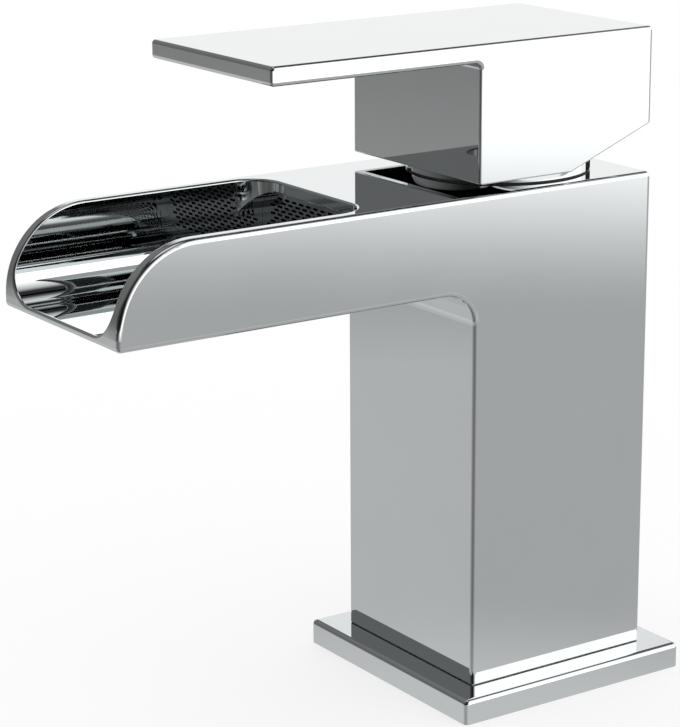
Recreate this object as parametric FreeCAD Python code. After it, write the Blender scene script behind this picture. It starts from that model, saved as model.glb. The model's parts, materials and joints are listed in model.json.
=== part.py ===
"""Waterfall basin mixer tap: square column, open trough spout and single lever.

Millimetres, +Z up. The origin is on the deck, on the column's axis, at the middle of
the base plate's underside. The spout and the lever point along -Y. The lever is at
rest, shut and in the middle of its hot-to-cold travel.
"""
import FreeCAD, Part
import math
import os

os.makedirs("parts", exist_ok=True)

Vec = FreeCAD.Vector
ALONG_X = Vec(1, 0, 0)
ALONG_Y = Vec(0, 1, 0)
ALONG_Z = Vec(0, 0, 1)
PAST = 1.0                  # how far cutters and fused pieces run past a face

# ------------------------------------------------------------------ body and spout
column_width = 45.0         # column and spout, across X
column_depth = 45.0         # column, along Y
body_top = 108.3            # top face above the deck
spout_height = 19.4         # underside to top of the spout
spout_reach = 103.5         # column axis to the spout's tip
tip_lip = 2.4               # upright part of the tip, under its sweeping arc
underside_blend = 7.0       # radius between the spout's underside and the column
body_edge = 1.0             # rounding of the body's outer edges
rim_edge = 0.5              # rounding of the open trough's inner edges
foot_groove_height = 0.25   # joint line between the column and the base plate
foot_groove_depth = 0.4

# ------------------------------------------------------------------ water channel
trough_wall = 2.9           # side walls of the trough
trough_floor = 1.7          # floor of the trough
floor_corner = 7.0          # radius between floor and side walls
ceiling_corner = 5.0        # radius between ceiling and side walls
cover_thick = 2.5           # roof between the trough's opening and the column
opening_back = 45.8         # column axis to the rear edge of the open trough
cover_low_edge = 0.3        # rounding of the roof's lower front edge
opening_corner = 6.8        # plan radius of the opening's rear corners
chamber_ledge = 0.8         # step on which the screen seats
chamber_front_wall = 2.6    # metal left between the chamber and the cartridge bore
slot_half_width = 10.0      # outlet slot from the bore to the chamber
slot_height = 6.0
slot_rise = 1.0             # slot above the chamber's floor

# ------------------------------------------------------------------ perforated screen
screen_setback = 0.35       # screen behind the opening's rear edge, at the ceiling
screen_thick = 0.8
screen_lean = 1.0           # degrees, the foot stands forward
screen_fit = 0.05
hole_pitch = 2.6            # across X
row_pitch = 0.84
hole_length = 1.85
hole_height = 0.5
hole_point = 0.17           # length of a hole's pointed ends
screen_margin = 1.6         # plain border beside the holes
first_row_drop = 1.07       # ceiling to the middle of the first row of holes
last_row_rise = 1.2         # trough floor to the last row, at least

# ------------------------------------------------------------------ base
plate_width = 57.0
plate_thick = 5.3
plate_edge = 1.0
plate_corner = 1.0
spigot_radius = 18.5        # register under the column, inside the base plate
spigot_length = 3.8
spigot_fit = 0.1
seal_outer = 24.5
seal_inner = 21.5
seal_depth = 2.0

# ------------------------------------------------------------------ column cavity and inlet block
cavity_radius = 16.0        # hollow under the column that the supply tails pass through
block_depth = 54.3          # body's top down to the ledge that carries the inlet block
block_fit = 0.1
block_seal_level = 5.0      # side seal above the block's underside
block_seal_height = 2.0
block_seal_depth = 1.5
block_seal_fit = 0.05
socket_radius = 4.5         # tapped M10 x 1
socket_depth = 12.0
socket_offset = 8.5         # sockets from the axis, along X
socket_rear = 3.0
stud_radius = 3.4           # tapped M8
stud_depth = 14.0
stud_front = 9.0            # stud hole from the axis, towards the spout

# ------------------------------------------------------------------ cartridge
cartridge_radius = 17.5
bore_fit = 0.15
seat_depth = 35.3           # body's top down to the cartridge's seat
base_height = 5.0
peg_radius = 1.75
peg_length = 2.4
peg_offset = 13.0           # locating pegs from the axis, along Y
peg_fit = 0.1
disc_radius = 14.6
fixed_disc_thick = 4.0
moving_disc_radius = 11.5
moving_disc_thick = 3.6
shut_lap = 0.6              # moving disc's face past the ports when shut
recess_side = 7.76          # half width of the moving disc's recess
port_radius = 2.9
port_offset = 6.6           # ports from the axis, along X
port_rear = 2.0
lap_gap = 0.04              # polished discs and sliding plastic faces
shoulder_depth = 6.0        # body's top down to the shoulder that the nut presses on
housing_wall = 1.9
neck_radius = 15.7
neck_rise = 7.5             # cartridge's neck above the body
window_half_width = 9.0     # outlet window in the housing, towards the spout
window_height = 6.4
window_rise = 1.0           # windows above the moving disc
relief_radius = 18.7        # water passage in the bore round the windows
relief_margin = 1.0         # passage below and above the windows
port_seal_wall = 1.5        # square rubber rings round the ports

# ------------------------------------------------------------------ rotor, stem and carrier
rotor_radius = 12.4
rotor_fit = 0.08
flange_radius = 15.3
flange_thick = 2.9
rotor_rise = 6.9            # rotor above the body
slot_reach = 8.2            # rotor slot from the axis, along Y
pivot_rise = 3.2            # lever's tilting axis above the body
pin_radius = 1.6
pin_fit = 0.05
pin_setback = 0.4           # pin's ends inside the rotor
stem_width = 8.0
stem_fit = 0.1
stem_head_gap = 2.3         # stem's top end below the lever, along the stem
stem_low_length = 12.3      # pivot to the middle of the paddle's round end
paddle_radius = 3.0
paddle_width = 6.0
paddle_fit = 0.12
neck_thick = 4.0            # stem between square and paddle
lift_angle = 21.0           # whole lift of the lever, degrees
carrier_radius = 12.0
boss_half_length = 4.7
boss_rise = 2.1             # boss above the middle of the paddle's round end
pocket_depth = 0.6          # room under the paddle's end
carrier_flange = 7.5        # height of the carrier under the rotor
limit_ring_inner = 8.2
limit_ring_thick = 1.3
rotor_seal_depth = 1.6
rotor_seal_height = 1.8
rotor_seal_fit = 0.05

# ------------------------------------------------------------------ nut and cap
thread_radius = 19.0        # tapped mouth of the bore, M38
thread_fit = 0.08
thread_runout = 0.5         # tapping below the nut
nut_inner_fit = 0.25
nut_collar_radius = 17.7
nut_collar_height = 2.6
wrench_slots = 4
wrench_slot_width = 4.0
wrench_slot_depth = 1.6
cap_radius = 19.1
cap_wall = 1.2
cap_skirt = 3.0             # upright height of the cap above the body
cap_shoulder = 7.4          # radius that the cap's stepped shoulder follows
cap_steps = 4
cap_gap = 0.35              # rubber ring between the body and the cap
cap_seal_setback = 0.3      # ring behind the cap's outside

# ------------------------------------------------------------------ lever handle
handle_width = 44.2
handle_front = 21.2         # column axis to the block's front face
handle_back = 22.4          # column axis to the block's rear face
handle_gap = 2.1            # block above the body's top face
handle_height = 27.8        # block and lever together
lever_thick = 3.8
lever_reach = 69.5          # column axis to the lever's tip
chamfer_start = 1.7         # rear-bottom chamfer begins this far behind the axis
chamfer_rise = 8.1
handle_edge = 0.8
handle_foot_edge = 0.3      # rounding of the block's lower edges
handle_blend = 1.2          # between the block's front and the lever's underside
handle_wall = 1.7
socket_boss_width = 14.0
socket_boss_front = 10.5
socket_boss_back = 4.5
socket_boss_depth = 10.4    # boss, rib and screw axis below the lever's underside
rib_depth = 8.8
screw_depth = 4.8
screw_radius = 2.5          # M5 grub screw
screw_length = 9.0
screw_fit = 0.06
key_width = 2.5             # hexagon socket across its flats
key_depth = 3.0
plug_radius = 4.0
plug_thick = 1.6
plug_fit = 0.08

# ------------------------------------------------------------------ derived levels and places
half_width = column_width / 2
half_depth = column_depth / 2
spout_floor = body_top - spout_height
tip_arc = spout_height - tip_lip
channel_half = half_width - trough_wall
channel_low = spout_floor + trough_floor
channel_high = body_top - cover_thick
screen_face = -(opening_back - screen_setback)
bore_radius = cartridge_radius + bore_fit
block_level = body_top - block_depth
seat_level = body_top - seat_depth
shoulder_level = body_top - shoulder_depth
neck_top = body_top + neck_rise
rotor_top = body_top + rotor_rise
pivot_level = body_top + pivot_rise
chamber_back = -(relief_radius + chamber_front_wall)
spigot_low = plate_thick - spigot_length
base_top = seat_level + base_height
fixed_top = base_top + fixed_disc_thick
moving_low = fixed_top + lap_gap
moving_top = moving_low + moving_disc_thick
carrier_top = moving_top + carrier_flange
flange_low = carrier_top + lap_gap
flange_top = flange_low + flange_thick
ceiling_inside = flange_top + lap_gap
half_lift = lift_angle / 2
slide_travel = 2 * stem_low_length * math.sin(math.radians(half_lift))
carrier_rest = slide_travel / 2
paddle_level = pivot_level - stem_low_length * math.cos(math.radians(half_lift))
handle_low = body_top + handle_gap
handle_top = handle_low + handle_height
lever_low = handle_top - lever_thick
socket_boss_level = lever_low - socket_boss_depth
rib_level = lever_low - rib_depth
screw_level = lever_low - screw_depth
stem_top_length = (lever_low - pivot_level) / math.cos(math.radians(half_lift)) - stem_head_gap
window_low = moving_top + window_rise
rotor_seal_level = (ceiling_inside + pivot_level) / 2


# ------------------------------------------------------------------ helpers
def block(x0, x1, y0, y1, z0, z1):
    """Rectangular solid between two corners."""
    return Part.makeBox(x1 - x0, y1 - y0, z1 - z0, Vec(x0, y0, z0))


def rod(radius, z0, z1, x=0.0, y=0.0):
    """Upright cylinder."""
    return Part.makeCylinder(radius, z1 - z0, Vec(x, y, z0))


def ring(outer, inner, z0, z1):
    """Upright ring of rectangular section."""
    return rod(outer, z0, z1).cut(rod(inner, z0 - PAST, z1 + PAST))


def extrude_outline(edges, vector):
    """Solid prism from a closed chain of edges."""
    return Part.Face(Part.Wire(edges)).extrude(vector)


def lines(points):
    """Closed chain of straight edges."""
    return [Part.makeLine(a, b) for a, b in zip(points, points[1:] + points[:1])]


def quarter(centre, start, end):
    """Quarter or shorter arc from start to end about centre."""
    radius = (start - centre).Length
    middle = (start + end) * 0.5 - centre
    middle.normalize()
    return Part.Arc(start, centre + middle * radius, end).toShape()


def rounded_section(half, low, high, r_low, r_high, y):
    """Face in the XZ plane at y: a rectangle with its own radii below and above."""
    corners = [(half, low, r_low), (half, high, r_high), (-half, high, r_high), (-half, low, r_low)]
    edges = []
    ends = []
    for x, z, r in corners:
        sx = math.copysign(1, x)
        sz = -1 if z == low else 1
        centre = Vec(x - sx * r, y, z - sz * r)
        on_side = Vec(x, y, z - sz * r)
        on_flat = Vec(x - sx * r, y, z)
        first, last = (on_flat, on_side) if sx * sz < 0 else (on_side, on_flat)
        ends.append((first, last, centre))
    for i, (first, last, centre) in enumerate(ends):
        edges.append(quarter(centre, first, last))
        edges.append(Part.makeLine(last, ends[(i + 1) % len(ends)][0]))
    return Part.Face(Part.Wire(edges))


def leaning(shape):
    """Shape built upright at the screen's face, leaned about the ceiling line."""
    turned = shape.copy()
    turned.rotate(Vec(0, screen_face, channel_high), ALONG_X, -screen_lean)
    return turned


def outline_edges(solid, half, low):
    """Edges on both side faces of a prism along X, but for those at its lowest level."""
    picked = []
    for edge in solid.Edges:
        ends = [v.Point for v in edge.Vertexes]
        on_side = all(abs(abs(p.x) - half) < 1e-6 for p in ends) and ends[0].x * ends[1].x > 0
        at_foot = all(abs(p.z - low) < 1e-6 for p in ends)
        if on_side and not at_foot:
            picked.append(edge)
    return picked


def cross_edges(solid, places):
    """Edges along X at the given (y, z) places."""
    picked = []
    for edge in solid.Edges:
        ends = [v.Point for v in edge.Vertexes]
        along = abs(ends[0].x - ends[-1].x) > 1
        for y, z in places:
            if along and all(abs(p.y - y) < 1e-6 and abs(p.z - z) < 1e-6 for p in ends):
                picked.append(edge)
    return picked


def save(name, shape):
    """Write one sub-part."""
    shape.exportStep("parts/" + name + ".step")


# ------------------------------------------------------------------ body and spout
def body_blank():
    """Column and spout as one prism with rounded outer edges."""
    x = -half_width
    tip = -spout_reach
    back_low = Vec(x, half_depth, plate_thick)
    back_top = Vec(x, half_depth, body_top)
    arc_top = Vec(x, tip + tip_arc, body_top)
    arc_low = Vec(x, tip, body_top - tip_arc)
    arc_centre = Vec(x, tip + tip_arc, body_top - tip_arc)
    tip_low = Vec(x, tip, spout_floor)
    blend_out = Vec(x, -half_depth - underside_blend, spout_floor)
    blend_in = Vec(x, -half_depth, spout_floor - underside_blend)
    blend_centre = Vec(x, -half_depth - underside_blend, spout_floor - underside_blend)
    front_low = Vec(x, -half_depth, plate_thick)
    edges = [
        Part.makeLine(back_low, back_top),
        Part.makeLine(back_top, arc_top),
        quarter(arc_centre, arc_top, arc_low),
        Part.makeLine(arc_low, tip_low),
        Part.makeLine(tip_low, blend_out),
        quarter(blend_centre, blend_out, blend_in),
        Part.makeLine(blend_in, front_low),
        Part.makeLine(front_low, back_low),
    ]
    blank = extrude_outline(edges, ALONG_X * column_width)
    rounded = outline_edges(blank, half_width, plate_thick)
    rounded += cross_edges(blank, [(half_depth, body_top), (tip, spout_floor)])
    return blank.makeFillet(body_edge, rounded)


def channel_prism(inset, y0, y1):
    """Water channel's section, made smaller by inset, from y0 to y1."""
    section = rounded_section(
        channel_half - inset, channel_low + inset, channel_high - inset,
        floor_corner - inset, ceiling_corner - inset, y0)
    return section.extrude(ALONG_Y * (y1 - y0))


def behind_screen():
    """Everything behind the screen's rear face."""
    size = spout_reach
    upright = block(-size, size, screen_face + screen_thick, size, -size, 2 * size)
    return leaning(upright)


def trough_space():
    """Open trough: the channel as far as the screen, and the opening above it."""
    overrun = body_edge + PAST
    tube = channel_prism(0, -spout_reach - overrun, chamber_back).cut(behind_screen())
    r = opening_corner
    z = channel_low + floor_corner
    back = -opening_back
    front = -spout_reach - overrun
    edges = [
        Part.makeLine(Vec(-channel_half, front, z), Vec(channel_half, front, z)),
        Part.makeLine(Vec(channel_half, front, z), Vec(channel_half, back - r, z)),
        quarter(Vec(channel_half - r, back - r, z), Vec(channel_half, back - r, z),
                Vec(channel_half - r, back, z)),
        Part.makeLine(Vec(channel_half - r, back, z), Vec(r - channel_half, back, z)),
        quarter(Vec(r - channel_half, back - r, z), Vec(r - channel_half, back, z),
                Vec(-channel_half, back - r, z)),
        Part.makeLine(Vec(-channel_half, back - r, z), Vec(-channel_half, front, z)),
    ]
    mouth = extrude_outline(edges, ALONG_Z * (spout_height + overrun))
    return tube.fuse(mouth)


def chamber_space():
    """Closed chamber behind the screen, and the slot that feeds it from the bore."""
    chamber = channel_prism(chamber_ledge, screen_face - spout_height, chamber_back)
    slot_low = channel_low + chamber_ledge + slot_rise
    slot = block(-slot_half_width, slot_half_width, chamber_back - PAST, 0,
                 slot_low, slot_low + slot_height)
    return chamber.fuse(slot)


def bore_space():
    """Cartridge bore down to the inlet block's ledge, its water passage and its tapped mouth."""
    bore = rod(bore_radius, block_level, body_top + PAST)
    relief = rod(relief_radius, window_low - relief_margin,
                 window_low + window_height + relief_margin)
    mouth = rod(thread_radius, shoulder_level - thread_runout, body_top + PAST)
    return bore.fuse([relief, mouth])


def on_body_skin(point):
    """Whether a point is on the body's top, on its tip or on the arc between them."""
    from_axis = math.hypot(point.y + spout_reach - tip_arc, point.z - body_top + tip_arc)
    on_arc = point.y < tip_arc - spout_reach and abs(from_axis - tip_arc) < 1e-3
    return on_arc or abs(point.z - body_top) < 1e-3 or abs(point.y + spout_reach) < 1e-3


def trough_rim_edges(solid):
    """Edges where the open trough meets the body's outside."""
    picked = []
    for edge in solid.Edges:
        if edge.Degenerated:
            continue
        first, last = edge.ParameterRange
        points = [edge.valueAt(first + part * (last - first)) for part in (0, 0.5, 1)]
        in_trough = all(abs(p.x) < channel_half + 1e-3 for p in points)
        if in_trough and all(p.y < 1e-3 - opening_back and on_body_skin(p) for p in points):
            picked.append(edge)
    return picked


def cover_round_cutter():
    """What the rounded lower front edge of the cover leaves out, as far as the ceiling is flat."""
    r = cover_low_edge
    back = -opening_back
    z = channel_high
    x = channel_half - opening_corner
    corner = Vec(x, back, z)
    edges = [
        Part.makeLine(corner, Vec(x, back + r, z)),
        quarter(Vec(x, back + r, z + r), Vec(x, back + r, z), Vec(x, back, z + r)),
        Part.makeLine(Vec(x, back, z + r), corner),
    ]
    profile = Part.Face(Part.Wire(edges))
    straight = profile.extrude(ALONG_X * (-2 * x))
    flat_half = channel_half - ceiling_corner
    turn = math.degrees(math.asin((flat_half - x) / opening_corner))
    bend = profile.revolve(Vec(x, back - opening_corner, z), ALONG_Z, -turn)
    return [straight, bend, bend.mirror(Vec(0, 0, 0), ALONG_X)]


def foot_groove():
    """Joint line round the column's foot."""
    half_x = half_width - foot_groove_depth
    half_y = half_depth - foot_groove_depth
    top = plate_thick + foot_groove_height
    outer = block(-column_width, column_width, -column_depth, column_depth, plate_thick, top)
    return outer.cut(block(-half_x, half_x, -half_y, half_y, plate_thick - PAST, top + PAST))


def make_body_casting():
    """Chromed brass casting of column and spout."""
    spigot = rod(spigot_radius, spigot_low, plate_thick + PAST)
    cavity = rod(cavity_radius, spigot_low - PAST, block_level + PAST)
    open_body = body_blank().cut(trough_space())
    open_body = open_body.makeFillet(rim_edge, trough_rim_edges(open_body))
    solid = open_body.fuse(spigot)
    solid = solid.cut(cover_round_cutter())
    return solid.cut([chamber_space(), bore_space(), cavity, foot_groove()])


def make_spout_screen():
    """Perforated plate across the channel, leaning with its foot forward."""
    reach = channel_half - screen_margin
    tall = (channel_high - channel_low) / math.cos(math.radians(screen_lean))
    row_count = int((tall - first_row_drop - last_row_rise) / row_pitch) + 1
    y = screen_face
    low = channel_low - floor_corner
    high = channel_high + ceiling_corner
    rim = lines([Vec(-half_width, y, low), Vec(half_width, y, low),
                 Vec(half_width, y, high), Vec(-half_width, y, high)])
    wires = [Part.Wire(rim)]
    corner = floor_corner
    for row in range(row_count):
        below_top = first_row_drop + row * row_pitch
        above_foot = tall - below_top
        z = channel_high - below_top
        cut_in = max(0.0, corner - min(below_top, above_foot))
        row_reach = reach - (corner - math.sqrt(corner ** 2 - cut_in ** 2))
        shift = hole_pitch / 2 if row % 2 else 0.0
        steps = int(row_reach / hole_pitch) + 1
        for step in range(-steps, steps + 1):
            x = step * hole_pitch + shift
            if abs(x) + hole_length / 2 > row_reach:
                continue
            tip_x = hole_length / 2
            flat_x = tip_x - hole_point
            h = hole_height / 2
            shape = [(-tip_x, 0), (-flat_x, -h), (flat_x, -h), (tip_x, 0), (flat_x, h), (-flat_x, h)]
            wires.append(Part.Wire(lines([Vec(x + dx, y, z + dz) for dx, dz in shape])))
    plate = Part.makeFace(wires, "Part::FaceMakerBullseye").extrude(ALONG_Y * screen_thick)
    return leaning(plate).common(channel_prism(screen_fit, -spout_reach, chamber_back))


# ------------------------------------------------------------------ base
def make_base_plate():
    """Square flange under the column, grooved below for its seal."""
    half = plate_width / 2
    plate = block(-half, half, -half, half, 0, plate_thick)
    upright = [e for e in plate.Edges if abs(e.Vertexes[0].Z - e.Vertexes[1].Z) > 1]
    plate = plate.makeFillet(plate_corner, upright)
    rim = [e for e in plate.Edges if all(abs(v.Z - plate_thick) < 1e-6 for v in e.Vertexes)]
    plate = plate.makeFillet(plate_edge, rim)
    hole = rod(spigot_radius + spigot_fit, -PAST, plate_thick + PAST)
    return plate.cut([hole, ring(seal_outer, seal_inner, -1, seal_depth)])


def make_base_seal():
    """Flat rubber ring in the base plate's groove, level with the underside."""
    return ring(seal_outer, seal_inner, 0, seal_depth)


# ------------------------------------------------------------------ inlet block
def at_ports(radius, z0, z1):
    """Two upright rods where the water enters the cartridge."""
    return [rod(radius, z0, z1, side * port_offset, port_rear) for side in (-1, 1)]


def side_groove(radius, fit):
    """Ring round the inlet block, from its groove's floor outwards."""
    low = block_level + block_seal_level
    return ring(radius, bore_radius - block_seal_depth, low + fit, low + block_seal_height - fit)


def make_inlet_block():
    """Brass block in the column with the supply sockets, stud hole and cartridge seat."""
    solid = rod(bore_radius - block_fit, block_level, seat_level)
    cuts = [rod(socket_radius, block_level - PAST, block_level + socket_depth,
                side * socket_offset, socket_rear) for side in (-1, 1)]
    cuts += at_ports(port_radius, block_level + socket_depth - PAST, seat_level + PAST)
    cuts.append(rod(stud_radius, block_level - PAST, block_level + stud_depth, 0, -stud_front))
    cuts += [rod(peg_radius + peg_fit, seat_level - peg_length - peg_fit, seat_level + PAST,
                 0, side * peg_offset) for side in (-1, 1)]
    cuts.append(side_groove(bore_radius + PAST, 0))
    return solid.cut(cuts)


def make_block_seal():
    """Square rubber ring that seals the inlet block in the column."""
    return side_groove(bore_radius, block_seal_fit)


# ------------------------------------------------------------------ cartridge, fixed pieces
def make_cartridge_base():
    """Plastic foot of the cartridge with its two ports, pegs and seal recesses."""
    foot = rod(cartridge_radius, seat_level, base_top - housing_wall)
    step = rod(cartridge_radius - housing_wall - bore_fit, seat_level, base_top)
    pegs = [rod(peg_radius, seat_level - peg_length, seat_level + PAST, 0, side * peg_offset)
            for side in (-1, 1)]
    cuts = at_ports(port_radius, seat_level - PAST, base_top + PAST)
    cuts += at_ports(port_radius + port_seal_wall, seat_level - PAST, seat_level + port_seal_wall)
    cuts += at_ports(port_radius + port_seal_wall, base_top - port_seal_wall, base_top + PAST)
    return foot.fuse([step] + pegs).cut(cuts)


def port_seals(z0):
    """Two square rubber rings round the ports, as separate solids in one node."""
    outer = at_ports(port_radius + port_seal_wall, z0, z0 + port_seal_wall)
    inner = at_ports(port_radius, z0 - PAST, z0 + port_seal_wall + PAST)
    return Part.makeCompound([a.cut(b) for a, b in zip(outer, inner)])


def make_inlet_seals():
    """Seals between the inlet block and the cartridge."""
    return port_seals(seat_level)


def make_disc_seals():
    """Seals between the cartridge's foot and the fixed disc."""
    return port_seals(base_top - port_seal_wall)


def make_fixed_disc():
    """Ceramic disc with the hot and the cold port."""
    disc = rod(disc_radius, base_top, fixed_top)
    return disc.cut(at_ports(port_radius, base_top - PAST, fixed_top + PAST))


def make_cartridge_housing():
    """Plastic cup with a shoulder for the nut, a neck for the rotor and outlet windows."""
    wall_low = base_top - housing_wall
    barrel = rod(cartridge_radius, wall_low, shoulder_level)
    neck = rod(neck_radius, shoulder_level - PAST, neck_top)
    solid = barrel.fuse(neck)
    inside = rod(cartridge_radius - housing_wall, wall_low - PAST, ceiling_inside)
    throat = rod(rotor_radius + rotor_fit, ceiling_inside - PAST, neck_top + PAST)
    window = block(-window_half_width, window_half_width, -cartridge_radius - PAST, 0,
                   window_low, window_low + window_height)
    return solid.cut([inside, throat, window])


# ------------------------------------------------------------------ cartridge, moving pieces
def make_moving_disc():
    """Ceramic disc whose recess joins the ports and lets the mixed water out in front."""
    disc = rod(moving_disc_radius, moving_low, moving_top, 0, carrier_rest)
    recess_depth = moving_disc_thick / 2
    y0 = carrier_rest - moving_disc_radius - PAST
    y1 = port_rear - port_radius - shut_lap
    recess = block(-recess_side, recess_side, y0, y1, moving_low - PAST, moving_low + recess_depth)
    return disc.cut(recess)


def make_disc_carrier():
    """Plastic slide that holds the moving disc and takes the stem's paddle."""
    plate = rod(carrier_radius, moving_top, carrier_top, 0, carrier_rest)
    half = stem_width / 2 - stem_fit
    boss = block(-half, half, carrier_rest - boss_half_length, carrier_rest + boss_half_length,
                 moving_top + PAST, paddle_level + boss_rise)
    pocket_x = paddle_width / 2 + stem_fit
    pocket_y = paddle_radius + paddle_fit
    pocket = block(-pocket_x, pocket_x, carrier_rest - pocket_y, carrier_rest + pocket_y,
                   paddle_level - paddle_radius - pocket_depth, pivot_level)
    return plate.fuse(boss).cut(pocket)


def rotor_slot():
    """Slot through the rotor in which the stem swings and the carrier's boss slides."""
    half = stem_width / 2 + stem_fit
    return block(-half, half, -slot_reach, slot_reach, flange_low - PAST, rotor_top + PAST)


def make_rotor():
    """Turning part of the cartridge, trapped by its flange."""
    flange = rod(flange_radius, flange_low, flange_top)
    barrel = rod(rotor_radius, flange_top - PAST, rotor_top)
    pin_hole = Part.makeCylinder(pin_radius, 2 * (rotor_radius + PAST),
                                 Vec(-rotor_radius - PAST, 0, pivot_level), ALONG_X)
    groove = ring(rotor_radius + PAST, rotor_radius - rotor_seal_depth,
                  rotor_seal_level, rotor_seal_level + rotor_seal_height)
    return flange.fuse(barrel).cut([rotor_slot(), pin_hole, groove])


def make_rotor_seal():
    """Square rubber ring that seals the rotor in the neck."""
    low = rotor_seal_level + rotor_seal_fit
    return ring(rotor_radius, rotor_radius - rotor_seal_depth, low,
                low + rotor_seal_height - 2 * rotor_seal_fit)


def make_pivot_pin():
    """Steel pin on which the stem tilts."""
    length = 2 * (rotor_radius - pin_setback)
    return Part.makeCylinder(pin_radius, length, Vec(-length / 2, 0, pivot_level), ALONG_X)


def make_limit_ring():
    """Plastic hot-limit ring clipped on the rotor."""
    return ring(rotor_radius, limit_ring_inner, rotor_top, rotor_top + limit_ring_thick)


def tilted(shape):
    """Shape built upright on the pivot, leaned forward to the shut position."""
    turned = shape.copy()
    turned.rotate(Vec(0, 0, pivot_level), ALONG_X, half_lift)
    return turned


def make_stem():
    """Brass stem: square above the pivot, neck and round-ended paddle below it."""
    half = stem_width / 2
    low = pivot_level - stem_low_length
    top = pivot_level + stem_top_length
    half_paddle = paddle_width / 2
    square = block(-half, half, -half, half, pivot_level - half, top)
    neck = block(-half_paddle, half_paddle, -neck_thick / 2, neck_thick / 2, low, pivot_level)
    paddle = Part.makeCylinder(paddle_radius, paddle_width, Vec(-half_paddle, 0, low), ALONG_X)
    eye = Part.makeCylinder(pin_radius + pin_fit, stem_width + 2 * PAST, Vec(-half - PAST, 0, pivot_level),
                            ALONG_X)
    solid = tilted(square.fuse([neck, paddle]).cut(eye))
    return solid.cut(screw_space(screw_radius + screw_fit))


# ------------------------------------------------------------------ nut and cap
def make_cartridge_nut():
    """Ring nut that holds the cartridge, with wrench slots and a collar for the cap."""
    inner = neck_radius + nut_inner_fit
    threaded = ring(thread_radius - thread_fit, inner, shoulder_level, body_top)
    collar = ring(nut_collar_radius, inner, body_top - PAST, body_top + nut_collar_height)
    nut = threaded.fuse(collar)
    top = body_top + nut_collar_height
    slots = []
    for i in range(wrench_slots):
        slot = block(-wrench_slot_width / 2, wrench_slot_width / 2, inner - PAST,
                     nut_collar_radius + PAST, top - wrench_slot_depth, top + PAST)
        slot.rotate(Vec(0, 0, 0), ALONG_Z, i * 360.0 / wrench_slots)
        slots.append(slot)
    return nut.cut(slots)


def cap_profile(inset):
    """Cap's outline from skirt to top hole, made smaller by inset."""
    bend = body_top + cap_skirt
    shoulder = cap_radius - cap_shoulder
    points = [Vec(cap_radius - inset, 0, body_top + cap_gap)]
    for i in range(cap_steps + 1):
        turn = math.radians(90.0 * i / cap_steps)
        radius = cap_shoulder - inset
        points.append(Vec(shoulder + radius * math.cos(turn), 0, bend + radius * math.sin(turn)))
    return points


def make_trim_cap():
    """Chromed cap over the nut: upright skirt and stepped shoulder, open for the stem."""
    outline = cap_profile(0) + cap_profile(cap_wall)[::-1]
    face = Part.Face(Part.Wire(lines(outline)))
    return face.revolve(Vec(0, 0, 0), ALONG_Z, 360)


def make_cap_seal():
    """Thin black ring on which the cap stands."""
    return ring(cap_radius - cap_seal_setback, cap_radius - cap_wall, body_top, body_top + cap_gap)


# ------------------------------------------------------------------ lever handle
def screw_space(radius):
    """Cylinder along Y from the stem's rear face outwards, for screw, hole and dimple."""
    lean = math.radians(half_lift)
    above = screw_level - pivot_level
    stem_face = -above * math.tan(lean) + stem_width / 2 / math.cos(lean)
    start = stem_face - screw_radius * math.tan(lean)
    return Part.makeCylinder(radius, handle_back, Vec(0, start, screw_level), ALONG_Y)


def on_block_foot(edge):
    """Whether an edge lies on the block's underside or on its rear chamfer."""
    slope = chamfer_rise / (handle_back - chamfer_start)
    lows = [handle_low + max(0.0, v.Y - chamfer_start) * slope for v in edge.Vertexes]
    return all(abs(v.Z - low) < 1e-3 for v, low in zip(edge.Vertexes, lows))


def handle_blank():
    """Lever plate and block as one prism with rounded outer edges."""
    half = handle_width / 2
    x = -half
    points = [
        (-handle_front, handle_low),
        (chamfer_start, handle_low),
        (handle_back, handle_low + chamfer_rise),
        (handle_back, handle_top),
        (-lever_reach, handle_top),
        (-lever_reach, lever_low),
        (-handle_front, lever_low),
    ]
    blank = extrude_outline(lines([Vec(x, y, z) for y, z in points]), ALONG_X * handle_width)
    inner_corner = cross_edges(blank, [points[6]])
    blank = blank.makeFillet(handle_blend, inner_corner)
    rounded = [e for e in outline_edges(blank, half, 0) if not on_block_foot(e)]
    rounded += cross_edges(blank, points[3:6])
    blank = blank.makeFillet(handle_edge, rounded)
    return blank.makeFillet(handle_foot_edge, [e for e in blank.Edges if on_block_foot(e)])


def make_handle():
    """Hollow lever handle with the socket for the stem cast inside."""
    half = handle_width / 2 - handle_wall
    front = -handle_front + handle_wall
    back = handle_back - handle_wall
    hollow = block(-half, half, front, back, handle_low - PAST, lever_low)
    shell = handle_blank().cut(hollow)
    boss_half = socket_boss_width / 2
    boss = block(-boss_half, boss_half, -socket_boss_front, socket_boss_back,
                 socket_boss_level, lever_low + PAST)
    rib = block(-boss_half, boss_half, 0, back + handle_wall / 2, rib_level, lever_low + PAST)
    half_socket = stem_width / 2 + stem_fit
    socket = tilted(block(-half_socket, half_socket, -half_socket, half_socket, pivot_level,
                          pivot_level + stem_top_length + stem_fit))
    screw_hole = screw_space(screw_radius + screw_fit)
    plug_seat = Part.makeCylinder(plug_radius + plug_fit, plug_thick + PAST,
                                  Vec(0, handle_back - plug_thick, screw_level), ALONG_Y)
    return shell.fuse([boss, rib]).cut([socket, screw_hole, plug_seat])


def make_grub_screw():
    """Socket set screw that clamps the handle on the stem."""
    body = screw_space(screw_radius)
    start = body.BoundBox.YMin
    keep = block(-screw_radius, screw_radius, start, start + screw_length,
                 screw_level - screw_radius, screw_level + screw_radius)
    corner = key_width / math.sqrt(3)
    key_y = start + screw_length - key_depth
    hexagon = [Vec(corner * math.cos(math.radians(60 * i)), key_y,
                   screw_level + corner * math.sin(math.radians(60 * i))) for i in range(6)]
    key = extrude_outline(lines(hexagon), ALONG_Y * (key_depth + PAST))
    return body.common(keep).cut(key)


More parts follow.
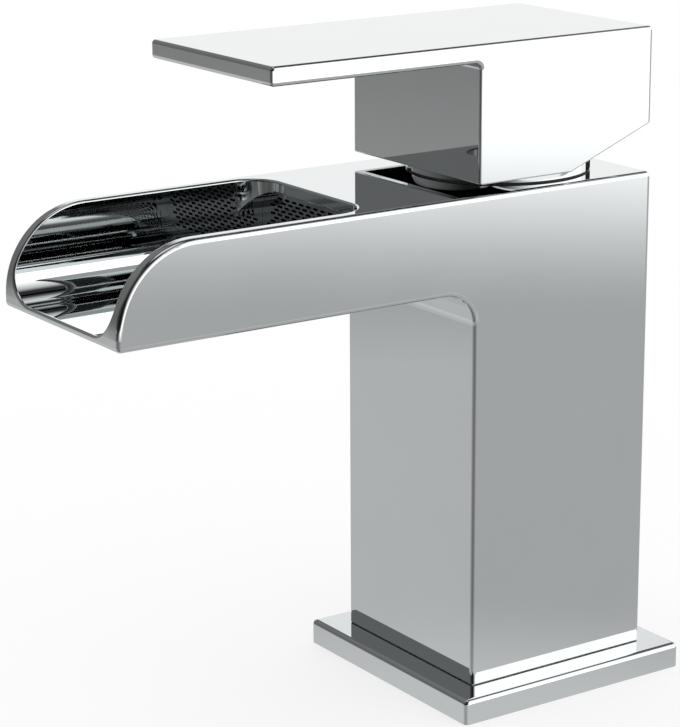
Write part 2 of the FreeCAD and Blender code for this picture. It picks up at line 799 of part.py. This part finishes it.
def make_index_plug():
    """Round hot and cold marker that closes the screw hole in the rear face."""
    head = Part.makeCylinder(plug_radius, plug_thick,
                             Vec(0, handle_back - plug_thick, screw_level), ALONG_Y)
    tail = Part.makeCylinder(screw_radius - plug_fit, 2 * plug_thick,
                             Vec(0, handle_back - 2 * plug_thick, screw_level), ALONG_Y)
    return head.fuse(tail)


# ------------------------------------------------------------------ write the sub-parts
SUB_PARTS = {
    "body_casting": make_body_casting,
    "spout_screen": make_spout_screen,
    "base_plate": make_base_plate,
    "base_seal": make_base_seal,
    "inlet_block": make_inlet_block,
    "block_seal": make_block_seal,
    "trim_cap": make_trim_cap,
    "cap_seal": make_cap_seal,
    "cartridge_nut": make_cartridge_nut,
    "cartridge_housing": make_cartridge_housing,
    "cartridge_base": make_cartridge_base,
    "inlet_seals": make_inlet_seals,
    "disc_seals": make_disc_seals,
    "fixed_disc": make_fixed_disc,
    "moving_disc": make_moving_disc,
    "disc_carrier": make_disc_carrier,
    "rotor": make_rotor,
    "rotor_seal": make_rotor_seal,
    "pivot_pin": make_pivot_pin,
    "limit_ring": make_limit_ring,
    "stem": make_stem,
    "handle": make_handle,
    "grub_screw": make_grub_screw,
    "index_plug": make_index_plug,
}

for name, make in SUB_PARTS.items():
    save(name, make())
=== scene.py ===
"""Looks of the waterfall basin mixer tap: camera, studio, floor and finishes.

Metres, +Z up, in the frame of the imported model. The spout points along -Y. Every shape comes
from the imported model, and nothing here moves or reshapes it.
"""
import json
import math

import bpy
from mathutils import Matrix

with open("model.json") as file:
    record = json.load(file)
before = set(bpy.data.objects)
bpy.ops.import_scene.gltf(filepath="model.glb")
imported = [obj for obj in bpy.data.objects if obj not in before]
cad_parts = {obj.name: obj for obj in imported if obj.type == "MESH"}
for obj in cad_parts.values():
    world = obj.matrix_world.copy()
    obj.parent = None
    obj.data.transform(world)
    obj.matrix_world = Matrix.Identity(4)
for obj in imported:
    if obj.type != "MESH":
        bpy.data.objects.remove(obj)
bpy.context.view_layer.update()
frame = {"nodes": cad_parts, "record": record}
nodes = frame["nodes"]

MM = 0.001
WHITE = (1, 1, 1, 1)

# ------------------------------------------------------------------ camera
CAMERA_PLACE = (0.419905, -0.323621, 0.212212)
CAMERA_TURN = (74.550, 0.301, 55.862)       # degrees
CAMERA_LENS = 128.19                        # millimetres, on a sensor of SENSOR_WIDTH
SENSOR_WIDTH = 36.0
CAMERA_NEAR = 0.01


def make_camera():
    """Camera at the photograph's place and angle."""
    data = bpy.data.cameras.new("camera")
    data.lens = CAMERA_LENS
    data.sensor_width = SENSOR_WIDTH
    data.clip_start = CAMERA_NEAR
    camera = bpy.data.objects.new("camera", data)
    camera.location = CAMERA_PLACE
    camera.rotation_euler = [math.radians(a) for a in CAMERA_TURN]
    bpy.context.scene.collection.objects.link(camera)
    bpy.context.scene.camera = camera


# ------------------------------------------------------------------ node helpers
HALF_TURN = 180.0           # degrees
RAMP_TOP = 2.0              # level of a ramp's white


class Graph:
    """Short calls for building a node tree."""

    def __init__(self, tree):
        self.tree = tree
        tree.nodes.clear()

    def add(self, kind, **settings):
        node = self.tree.nodes.new(kind)
        for key, value in settings.items():
            setattr(node, key, value)
        return node

    def link(self, value, socket):
        """Feed a socket from another socket or with a constant."""
        if hasattr(value, "is_output"):
            self.tree.links.new(value, socket)
        else:
            socket.default_value = value

    def feed(self, values, sockets):
        """Feed several sockets in order and give back their node's first output."""
        for value, socket in zip(values, sockets):
            self.link(value, socket)
        return sockets[0].node.outputs[0]

    def math(self, operation, *values):
        return self.feed(values, self.add("ShaderNodeMath", operation=operation).inputs)

    def add_up(self, first, second):
        return self.math("ADD", first, second)

    def times(self, first, second):
        return self.math("MULTIPLY", first, second)

    def greater(self, first, second):
        return self.math("MAXIMUM", first, second)

    def step(self, value, edge, levels=(0.0, 1.0)):
        """Smooth change between two levels while value crosses the edge."""
        node = self.add("ShaderNodeMapRange", interpolation_type="SMOOTHSTEP")
        return self.feed((value, *edge, *levels), node.inputs)

    def slope(self, value, edge, levels):
        """Even change between two levels while value crosses the edge."""
        node = self.add("ShaderNodeMapRange", interpolation_type="LINEAR")
        return self.feed((value, *edge, *levels), node.inputs)

    def band(self, value, rise, fall):
        """1 between two edges and 0 outside them."""
        return self.times(self.step(value, rise), self.step(value, fall))

    def mix(self, factor, first, second):
        """Number between first and second."""
        node = self.add("ShaderNodeMix", data_type="FLOAT")
        self.link(factor, node.inputs[0])
        self.link(first, node.inputs[2])
        self.link(second, node.inputs[3])
        return node.outputs[0]

    def colour(self, factor, first, second):
        """Colour between first and second."""
        node = self.add("ShaderNodeMix", data_type="RGBA")
        self.link(factor, node.inputs[0])
        self.link(first, node.inputs[6])
        self.link(second, node.inputs[7])
        return node.outputs[2]

    def ramp(self, angle, stops):
        """Level at an angle of -90 to 90 degrees, from (angle, level) stops."""
        node = self.add("ShaderNodeValToRGB")
        self.link(self.add_up(self.math("DIVIDE", angle, HALF_TURN), 0.5), node.inputs[0])
        elements = node.color_ramp.elements
        while len(elements) < len(stops):
            elements.new(0.5)
        for element, (place, level) in zip(elements, stops):
            element.position = place / HALF_TURN + 0.5
            element.color = [level / RAMP_TOP] * 3 + [1.0]
        return self.times(node.outputs[0], RAMP_TOP)

    def noise(self, vector, scale, detail, roughness=0.5):
        node = self.add("ShaderNodeTexNoise")
        self.link(vector, node.inputs["Vector"])
        node.inputs["Scale"].default_value = scale
        node.inputs["Detail"].default_value = detail
        node.inputs["Roughness"].default_value = roughness
        return node.outputs["Fac"]

    def axes(self, vector):
        """X, Y and Z of a vector."""
        split = self.add("ShaderNodeSeparateXYZ")
        self.link(vector, split.inputs[0])
        return tuple(split.outputs)

    def pick(self, ray, otherwise, when):
        """One shader for a kind of ray and another for the rest."""
        node = self.add("ShaderNodeMixShader")
        self.link(self.add("ShaderNodeLightPath").outputs[ray], node.inputs[0])
        self.link(otherwise.outputs[0], node.inputs[1])
        self.link(when.outputs[0], node.inputs[2])
        return node

    def finish(self, kind, shader):
        self.link(shader.outputs[0], self.add(kind).inputs["Surface"])


# ------------------------------------------------------------------ studio
# The room as the polished metal sees it. Azimuth 0 is in front of the spout and 90 on its
# right; azimuth and elevation are in degrees, and levels are a share of white. An edge is the
# angle at which a change starts and the one at which it is complete.
DARK_ROOM = (0.01, 0.03)            # black space in front, on the camera's side: low, high
DARK_ROOM_EDGE = (16.0, 32.0)       # elevation

FRONT_WALL = 0.137                  # how much brighter the grey wall on the left of it is
FRONT_WALL_EDGE = (20.0, -56.0)     # azimuth, at the elevation below
FRONT_WALL_LEVEL = 14.0
FRONT_WALL_TILT = 0.9               # degrees of azimuth for each degree of elevation
FRONT_WALL_TOP = (64.0, 50.0)
WALL_END = 0.02                     # a little more light at the wall's far end
WALL_END_EDGE = (-60.0, -75.0)

RIGHT_BOX = 1.5                     # large soft box at the camera's right and behind
RIGHT_BOX_EDGE = (52.0, 120.0)      # azimuth
RIGHT_BOX_TOP = (72.0, 34.0)        # elevation
RIGHT_BOX_SPREAD = 42.0             # how far its edge moves out along the horizon
RIGHT_BOX_SPREAD_EDGE = (-3.0, -10.5)
RIGHT_BOX_LEAN = -24.0              # and how far it leans back high up
RIGHT_BOX_LEAN_EDGE = (20.0, 50.0)
RIGHT_BOX_DROP = 16.0               # lower top behind the object
RIGHT_BOX_DROP_EDGE = (145.0, 180.0)

LEFT_BOX = [                        # soft box at the back left: (elevation, level)
    (18, 0.98), (22, 0.85), (25, 0.48), (28, 0.15), (34, 0.08), (44, 0.10), (60, 0.05),
]
LEFT_BOX_EDGE = (-102.0, -106.0)

BACK_BOX = 1.2                      # soft box behind the object
BACK_BOX_EDGE = (-164.0, -167.0)
BACK_BOX_TOP = (56.0, 36.0)

STAND = 0.02                        # black stand between the left box and the back one
STAND_HEIGHT = ((5.5, 6.2), (13.5, 12.5))
STAND_SIDES = ((-166.5, -165.0), (-133.5, -136.0))

CEILING = 0.75                      # soft box straight overhead
CEILING_EDGE = (66.0, 80.0)

FLOOR = 0.44
FLOOR_DIP = -0.27                   # how much darker it is in front of the black space
FLOOR_DIP_SIDES = ((-60.0, 15.0), (85.0, 25.0))
LEFT_FLOOR = (0.01, 0.08)           # how much lighter it is on the left: far back, near
LEFT_FLOOR_EDGE = (-40.0, -55.0)
LEFT_FLOOR_CHANGE = (-152.0, -140.0)
CLOSE_FLOOR = (0.09, 0.16)          # how much lighter it is close by: on the left, elsewhere
CLOSE_FLOOR_CHANGE = (-55.0, -40.0)
CLOSE_FLOOR_BAND = ((-20.5, -22.8), (-28.0, -24.5))

FLOOR_BLEND = [                     # share of the wall seen, from the floor to the horizon
    (-15.5, 0.0), (-12.5, 0.45), (-10.0, 0.60), (-8.0, 0.74), (-4.0, 0.92), (0.0, 1.0),
]
WHITE_FLOOR_EDGE = (-14.4, -8.8)    # where the floor ends under the white boxes
WHITE_SIDES = ((38.0, 52.0), (-104.0, -108.0))
REAR_FLOOR_EDGE = (-7.5, -5.0)      # and where it ends straight behind the object
REAR_SIDES = ((133.0, 141.0), (-118.0, -134.0))


def front_level(g, azimuth, elevation):
    """Black space that turns into the grey wall along a slanted edge."""
    dark = g.step(elevation, DARK_ROOM_EDGE, DARK_ROOM)
    tilt = g.times(g.math("SUBTRACT", elevation, FRONT_WALL_LEVEL), FRONT_WALL_TILT)
    wall = g.step(g.math("SUBTRACT", azimuth, tilt), FRONT_WALL_EDGE, (0.0, FRONT_WALL))
    low_wall = g.times(wall, g.step(elevation, FRONT_WALL_TOP))
    far_end = g.step(azimuth, WALL_END_EDGE, (0.0, WALL_END))
    return g.add_up(g.add_up(dark, low_wall), far_end)


def right_level(g, azimuth, elevation):
    """Soft box whose near edge leans back with height and spreads along the horizon."""
    spread = g.step(elevation, RIGHT_BOX_SPREAD_EDGE, (0.0, RIGHT_BOX_SPREAD))
    lean = g.slope(elevation, RIGHT_BOX_LEAN_EDGE, (0.0, RIGHT_BOX_LEAN))
    edge = g.add_up(azimuth, g.add_up(spread, lean))
    drop = g.slope(azimuth, RIGHT_BOX_DROP_EDGE, (0.0, RIGHT_BOX_DROP))
    top = g.step(g.add_up(elevation, drop), RIGHT_BOX_TOP)
    return g.times(g.step(edge, RIGHT_BOX_EDGE, (0.0, RIGHT_BOX)), top)


def wall_level(g, azimuth, elevation):
    """Everything above the floor."""
    level = g.greater(front_level(g, azimuth, elevation), right_level(g, azimuth, elevation))
    level = g.mix(g.step(azimuth, LEFT_BOX_EDGE), level, g.ramp(elevation, LEFT_BOX))
    back = g.step(elevation, BACK_BOX_TOP, (0.0, BACK_BOX))
    level = g.mix(g.step(azimuth, BACK_BOX_EDGE), level, back)
    stand = g.times(g.band(elevation, *STAND_HEIGHT), g.band(azimuth, *STAND_SIDES))
    level = g.mix(stand, level, STAND)
    return g.greater(level, g.step(elevation, CEILING_EDGE, (0.0, CEILING)))


def floor_level(g, azimuth, elevation):
    """Floor, darker in front of the black space and lighter close to the object."""
    near = g.times(g.band(azimuth, *FLOOR_DIP_SIDES), FLOOR_DIP)
    left = g.times(g.step(azimuth, LEFT_FLOOR_EDGE),
                   g.step(azimuth, LEFT_FLOOR_CHANGE, LEFT_FLOOR))
    close = g.times(g.step(azimuth, CLOSE_FLOOR_CHANGE, CLOSE_FLOOR),
                    g.band(elevation, *CLOSE_FLOOR_BAND))
    return g.add_up(g.add_up(near, left), g.add_up(close, FLOOR))


def wall_share(g, azimuth, elevation):
    """1 above the floor and 0 on it, with a soft edge that differs round the room."""
    rear = g.greater(*[g.step(azimuth, edge) for edge in REAR_SIDES])
    edge = g.mix(rear, g.step(elevation, WHITE_FLOOR_EDGE), g.step(elevation, REAR_FLOOR_EDGE))
    white = g.greater(*[g.step(azimuth, edge) for edge in WHITE_SIDES])
    return g.mix(white, g.ramp(elevation, FLOOR_BLEND), edge)


def make_world():
    """White for the camera, even light for matt surfaces, soft boxes for the metal."""
    world = bpy.data.worlds.new("studio")
    world.use_nodes = True
    bpy.context.scene.world = world
    g = Graph(world.node_tree)
    x, y, z = g.axes(g.add("ShaderNodeTexCoord").outputs["Generated"])
    to_degrees = HALF_TURN / math.pi
    azimuth = g.times(g.math("ARCTAN2", x, g.times(y, -1.0)), to_degrees)
    elevation = g.times(g.math("ARCSINE", z), to_degrees)
    level = g.mix(wall_share(g, azimuth, elevation), floor_level(g, azimuth, elevation),
                  wall_level(g, azimuth, elevation))
    metal = g.add("ShaderNodeBackground")
    metal.inputs["Color"].default_value = WHITE
    g.link(level, metal.inputs["Strength"])
    plain = g.add("ShaderNodeBackground")
    plain.inputs["Color"].default_value = WHITE
    g.finish("ShaderNodeOutputWorld", g.pick("Is Glossy Ray", plain, metal))


STAGE_REACH = 3.0
STAGE_COLOUR = 0.80
SHADOW_SHARE = 0.30         # part of the floor's white that the object can shade


def make_floor():
    """Pale floor that stays white to the camera, keeps a faint shadow and isn't mirrored."""
    bpy.ops.mesh.primitive_plane_add(size=2 * STAGE_REACH)
    floor = bpy.context.object
    floor.name = "floor"
    material = bpy.data.materials.new("floor")
    material.use_nodes = True
    g = Graph(material.node_tree)

    def plain(kind, level):
        shader = g.add(kind)
        shader.inputs["Color"].default_value = (level, level, level, 1)
        return shader

    matt = plain("ShaderNodeBsdfDiffuse", STAGE_COLOUR)
    seen = g.add("ShaderNodeAddShader")
    g.link(plain("ShaderNodeBsdfDiffuse", SHADOW_SHARE).outputs[0], seen.inputs[0])
    g.link(plain("ShaderNodeEmission", 1.0 - SHADOW_SHARE).outputs[0], seen.inputs[1])
    solid = g.pick("Is Camera Ray", matt, seen)
    clear = g.add("ShaderNodeBsdfTransparent")
    g.finish("ShaderNodeOutputMaterial", g.pick("Is Glossy Ray", solid, clear))
    floor.data.materials.append(material)


# ------------------------------------------------------------------ finishes
# Colours are pairs, the darker one first, and roughnesses are pairs, the smoother one first.
# A noise goes from one to the other over NOISE_SPAN.
NOISE_SPAN = (0.3, 0.7)

CHROME = ((0.795, 0.822, 0.826, 1), (0.808, 0.835, 0.839, 1))
CHROME_ROUGH = (0.018, 0.04)
CHROME_ROUGH_SPAN = (0.35, 0.75)
CAST_BRASS = ((0.42, 0.30, 0.13, 1), (0.60, 0.45, 0.21, 1))
CAST_BRASS_ROUGH = (0.4, 0.6)
# Painted shade: a dark grey, half metallic finish in the groove where the column stands on the
# base plate, in place of the groove's shadow.
GROOVE_SHADE = (0.30, 0.30, 0.31, 1)
GROOVE_SHADE_METALLIC = 0.6
GROOVE_SHADE_ROUGH = 0.15
SCREEN = ((0.50, 0.51, 0.52, 1), (0.58, 0.59, 0.60, 1))
SCREEN_ROUGH = (0.08, 0.13)
BRASS = ((0.70, 0.53, 0.25, 1), (0.86, 0.70, 0.38, 1))
BRASS_ROUGH = (0.20, 0.36)
BRASS_RELIEF = 0.02 * MM
RING_SQUEEZE = (1.0, 1.0, 30.0)     # the turning marks are this much finer along Z
STEEL = ((0.50, 0.50, 0.52, 1), (0.66, 0.66, 0.68, 1))
STEEL_ROUGH = (0.22, 0.38)
LIGHT_PLASTIC = ((0.80, 0.80, 0.77, 1), (0.88, 0.88, 0.86, 1))
LIGHT_PLASTIC_ROUGH = (0.35, 0.49)
DARK_PLASTIC = ((0.035, 0.035, 0.038, 1), (0.06, 0.06, 0.065, 1))
DARK_PLASTIC_ROUGH = (0.43, 0.57)
PLASTIC_RELIEF = 0.015 * MM
RUBBER = ((0.022, 0.022, 0.024, 1), (0.058, 0.058, 0.062, 1))
RUBBER_ROUGH = (0.55, 0.75)
RUBBER_RELIEF = 0.03 * MM
CERAMIC = ((0.88, 0.87, 0.84, 1), (0.94, 0.93, 0.91, 1))
CERAMIC_ROUGH = (0.12, 0.22)
HOT = ((0.50, 0.012, 0.012, 1), (0.62, 0.03, 0.025, 1))
COLD = ((0.012, 0.06, 0.42, 1), (0.03, 0.10, 0.54, 1))
MARKER_ROUGH = (0.16, 0.26)
MARKER_EDGE = (-0.05 * MM, 0.05 * MM)

# On the body casting: nearer to the column's axis than BORE_EDGE is inside, and lower than
# the groove's top edge below is the groove over the base plate, coloured dark grey as painted
# shade.
BORE_EDGE = (19.1 * MM, 18.9 * MM)
GROOVE_SHADE_TOP = (5.57 * MM, 5.56 * MM)


class Finish:
    """A material with its shader, its graph and the piece's own coordinates."""

    def __init__(self, name, metallic=0.0):
        self.material = bpy.data.materials.new(name)
        self.material.use_nodes = True
        self.g = Graph(self.material.node_tree)
        self.shader = self.g.add("ShaderNodeBsdfPrincipled")
        self.shader.inputs["Metallic"].default_value = metallic
        self.g.finish("ShaderNodeOutputMaterial", self.shader)
        self.place = self.g.add("ShaderNodeTexCoord").outputs["Object"]

    def noise(self, scale, detail, roughness=0.5):
        return self.g.noise(self.place, scale, detail, roughness)

    def set(self, socket, value):
        self.g.link(value, self.shader.inputs[socket])

    def coat(self, pattern, colours, rough, grain=None):
        """Colour, and roughness from the same pattern or from a finer grain."""
        self.set("Base Color", self.g.colour(pattern, *colours))
        self.set("Roughness", self.g.step(grain or pattern, NOISE_SPAN, rough))

    def relief(self, height, strength, depth):
        """Fine relief of the given real depth."""
        bump = self.g.add("ShaderNodeBump")
        bump.inputs["Strength"].default_value = strength
        bump.inputs["Distance"].default_value = depth
        self.g.link(height, bump.inputs["Height"])
        self.set("Normal", bump.outputs[0])

    def polish(self):
        """Colour and roughness of a mirror with a very faint haze that varies over it."""
        haze = self.noise(scale=45.0, detail=3.0)
        return (self.g.colour(self.g.step(haze, NOISE_SPAN), *CHROME),
                self.g.step(haze, CHROME_ROUGH_SPAN, CHROME_ROUGH))


def chrome():
    """Polished chrome."""
    finish = Finish("chrome", metallic=1.0)
    colour, rough = finish.polish()
    finish.set("Base Color", colour)
    finish.set("Roughness", rough)
    return finish.material


def body_finish():
    """Chrome outside, raw cast brass inside and painted shade, a dark grey, in the groove over
    the base plate.
    """
    finish = Finish("body_chrome")
    g = finish.g
    x, y, z = g.axes(finish.place)
    radius = g.math("SQRT", g.add_up(g.times(x, x), g.times(y, y)))
    inside = g.step(radius, BORE_EDGE)
    # painted shade: outside the bore and below the groove's top, the casting is coloured dark
    # grey in place of the groove's shadow
    painted_groove_shade = g.times(g.step(z, GROOVE_SHADE_TOP), g.math("SUBTRACT", 1.0, inside))
    polish, polish_rough = finish.polish()
    sand = finish.noise(scale=1400.0, detail=3.0)
    metal = g.colour(inside, polish, g.colour(sand, *CAST_BRASS))
    rough = g.mix(inside, polish_rough, g.step(sand, NOISE_SPAN, CAST_BRASS_ROUGH))
    # the painted groove shade goes over the chrome
    finish.set("Base Color", g.colour(painted_groove_shade, metal, GROOVE_SHADE))
    finish.set("Metallic", g.mix(painted_groove_shade, 1.0, GROOVE_SHADE_METALLIC))
    finish.set("Roughness", g.mix(painted_groove_shade, rough, GROOVE_SHADE_ROUGH))
    return finish.material


def screen_steel():
    """Bright rolled stainless sheet, a little darker than the chrome."""
    finish = Finish("screen_steel", metallic=1.0)
    finish.coat(finish.noise(scale=900.0, detail=3.0), SCREEN, SCREEN_ROUGH)
    return finish.material


def brass():
    """Turned brass with faint rings left by the tool."""
    finish = Finish("brass", metallic=1.0)
    stretch = finish.g.add("ShaderNodeMapping")
    stretch.inputs["Scale"].default_value = RING_SQUEEZE
    finish.g.link(finish.place, stretch.inputs["Vector"])
    rings = finish.g.noise(stretch.outputs[0], scale=120.0, detail=3.0)
    finish.coat(rings, BRASS, BRASS_ROUGH)
    finish.relief(rings, strength=0.25, depth=BRASS_RELIEF)
    return finish.material


def steel():
    """Bright steel of pin and grub screw."""
    finish = Finish("steel", metallic=1.0)
    finish.coat(finish.noise(scale=700.0, detail=4.0), STEEL, STEEL_ROUGH)
    return finish.material


def plastic(name, colours, rough):
    """Moulded plastic with a fine sparked texture."""
    finish = Finish(name)
    cloud = finish.noise(scale=160.0, detail=2.0)
    grain = finish.noise(scale=2600.0, detail=2.0)
    finish.coat(cloud, colours, rough, grain)
    finish.relief(grain, strength=0.3, depth=PLASTIC_RELIEF)
    return finish.material


def rubber():
    """Black seal rubber with a dusty bloom."""
    finish = Finish("seal_rubber")
    bloom = finish.noise(scale=260.0, detail=4.0, roughness=0.6)
    finish.coat(bloom, RUBBER, RUBBER_ROUGH)
    finish.relief(bloom, strength=0.3, depth=RUBBER_RELIEF)
    return finish.material


def ceramic():
    """Lapped alumina."""
    finish = Finish("ceramic")
    finish.coat(finish.noise(scale=500.0, detail=3.0), CERAMIC, CERAMIC_ROUGH)
    return finish.material


def index_marker():
    """Glossy marker: a red half for hot, on the user's left, and a blue half for cold."""
    finish = Finish("index_plastic")
    g = finish.g
    side = g.step(g.axes(finish.place)[0], MARKER_EDGE)
    cloud = finish.noise(scale=300.0, detail=2.0)
    halves = g.colour(cloud, *HOT), g.colour(cloud, *COLD)
    finish.coat(side, halves, MARKER_ROUGH, cloud)
    return finish.material


FINISHES = {
    "chrome": chrome(),
    "screen_steel": screen_steel(),
    "brass": brass(),
    "steel": steel(),
    "housing_plastic": plastic("housing_plastic", LIGHT_PLASTIC, LIGHT_PLASTIC_ROUGH),
    "dark_plastic": plastic("dark_plastic", DARK_PLASTIC, DARK_PLASTIC_ROUGH),
    "seal_rubber": rubber(),
    "ceramic": ceramic(),
    "index_plastic": index_marker(),
}
OWN_FINISHES = {"body_casting": body_finish()}      # nodes that don't take their slot's


def finish_nodes():
    """Give every carried-over CAD node its finish."""
    for part in frame["record"]["subparts"]:
        node = part["node"]
        mesh = nodes[node].data
        mesh.materials.clear()
        mesh.materials.append(OWN_FINISHES.get(node) or FINISHES[part["material_slot"]])


# ------------------------------------------------------------------ make the scene
bpy.context.scene.view_settings.view_transform = "Standard"
make_camera()
make_world()
make_floor()
finish_nodes()
